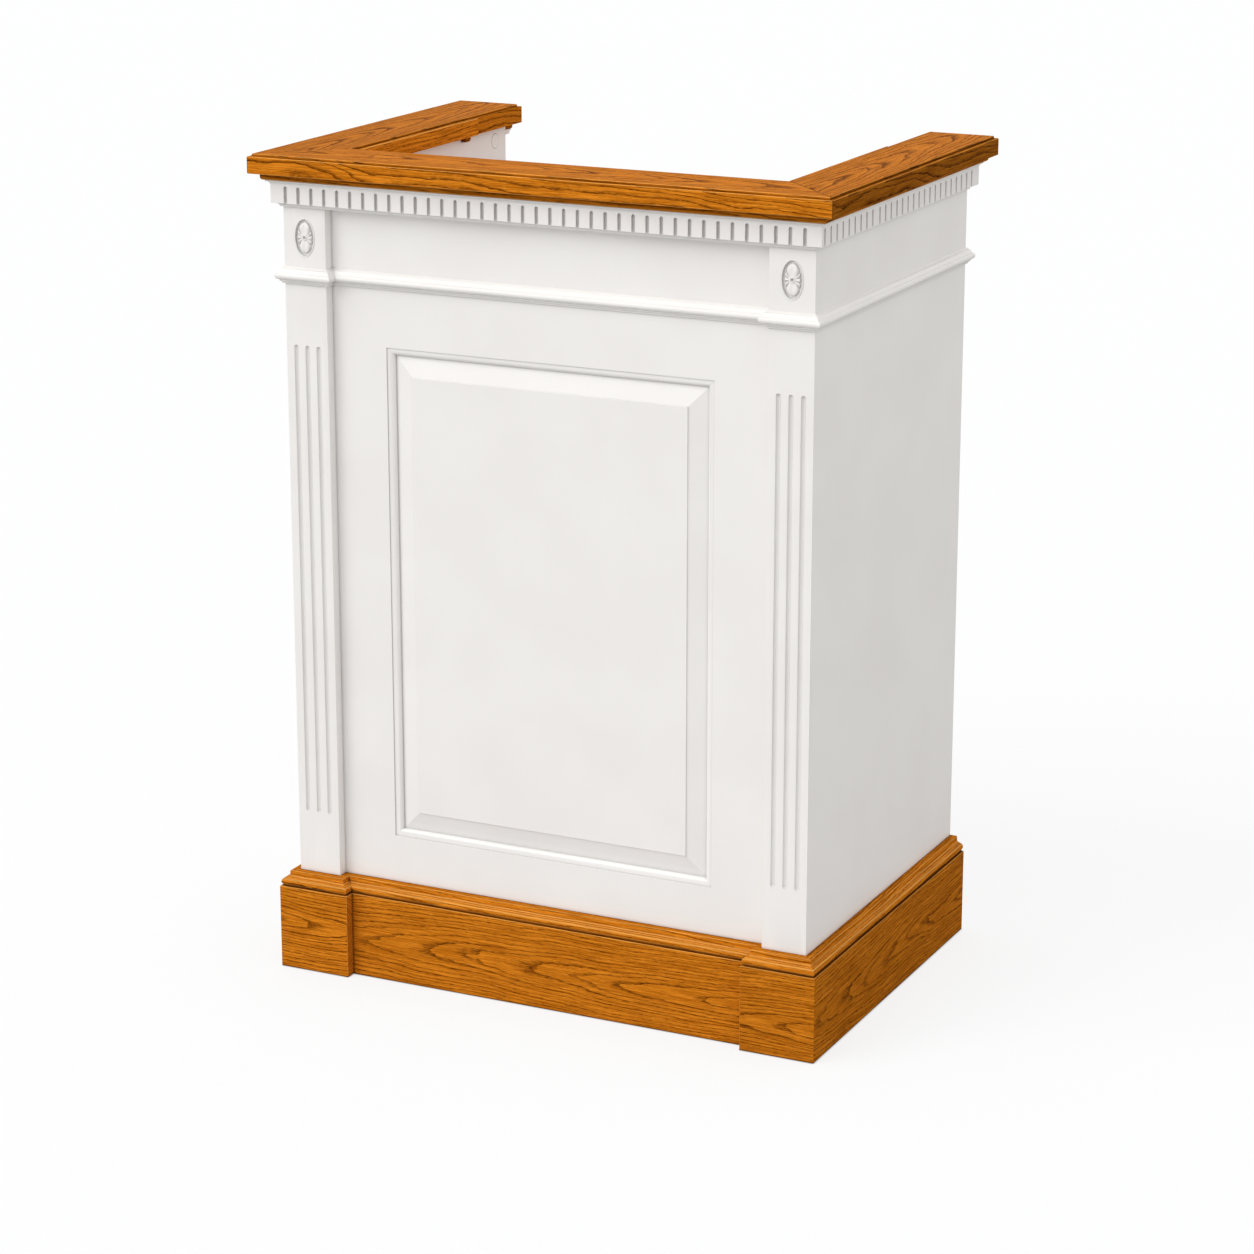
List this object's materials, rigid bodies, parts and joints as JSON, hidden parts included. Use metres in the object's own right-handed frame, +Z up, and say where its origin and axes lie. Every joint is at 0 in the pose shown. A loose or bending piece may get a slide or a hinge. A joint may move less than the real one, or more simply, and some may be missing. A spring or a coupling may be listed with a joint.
{
  "type": "pulpit",
  "caption": "Free-standing pulpit with a white panelled front, fluted pilasters, dentil cornice and belt, a three-sided oak cap, an oak base and a tilting reading board between its wings.",
  "frame": {"origin": "On the floor, at the middle of the bounding box of the whole seen from above.", "axes": "+Z is up, -Y is the front that faces the listeners, +Y is the open back where the speaker stands, +X is to the right as seen from the front."},
  "size_m": [0.852, 0.599, 1.168],
  "materials": {
    "oak": "medium oak stain, satin lacquer",
    "oak_moulding": "medium oak stain, satin lacquer",
    "white_paint": "white satin paint",
    "pine": "sawn and planed, unfinished",
    "brass": "satin"
  },
  "bodies": {
    "body": {"cap_front": "oak", "cap_left": "oak", "cap_right": "oak", "cap_strips": "oak", "cap_brackets": "oak_moulding", "cap_cove_front": "oak_moulding", "cap_cove_left": "oak_moulding", "cap_cove_right": "oak_moulding", "cornice_front": "white_paint", "cornice_left": "white_paint", "cornice_right": "white_paint", "cornice_backer": "white_paint", "belt_front": "white_paint", "belt_left": "white_paint", "belt_right": "white_paint", "belt_over_pilasters": "white_paint", "pilaster_left": "white_paint", "pilaster_right": "white_paint", "rosettes": "white_paint", "stile_left": "white_paint", "stile_right": "white_paint", "top_rail": "white_paint", "bottom_rail": "white_paint", "frieze_board": "white_paint", "raised_panel": "white_paint", "panel_moulding": "white_paint", "front_lining": "white_paint", "side_panel_left": "white_paint", "side_panel_right": "white_paint", "inner_panel_left": "white_paint", "inner_panel_right": "white_paint", "end_boards": "white_paint", "wing_posts": "pine", "wing_rails": "pine", "cover_plugs": "white_paint", "plinth_block_left": "oak", "plinth_block_right": "oak", "base_board_front": "oak", "base_board_left": "oak", "base_board_right": "oak", "base_cap_front": "oak", "base_cap_left": "oak", "base_cap_right": "oak", "base_cap_blocks": "oak", "deck": "oak", "deck_cleats": "pine", "shelf": "oak", "shelf_pins": "brass", "hinge_rail": "oak", "hinge_rail_leaf": "brass", "hinge_pin": "brass", "clamp_studs": "brass", "rail_screws": "brass"},
    "bookrest": {"reading_board": "oak", "book_stop": "oak", "quadrant_stays": "brass", "hinge_board_leaf": "brass", "board_screws": "brass"},
    "knob_left": {"clamp_knob_left": "brass"},
    "knob_right": {"clamp_knob_right": "brass"}
  },
  "joints": [
    {"name": "bookrest_tilt", "type": "hinge", "parent": "body", "child": "bookrest", "pos_m": [0, 0.2065, 0.932], "axis": [-1, 0, 0], "range_deg": [0, 14]},
    {"name": "knob_left_turn", "type": "hinge", "parent": "body", "child": "knob_left", "pos_m": [-0.3177, 0.0165, 0.932], "axis": [1, 0, 0], "range_deg": [0, 360]},
    {"name": "knob_right_turn", "type": "hinge", "parent": "body", "child": "knob_right", "pos_m": [0.3177, 0.0165, 0.932], "axis": [-1, 0, 0], "range_deg": [0, 360]}
  ]
}
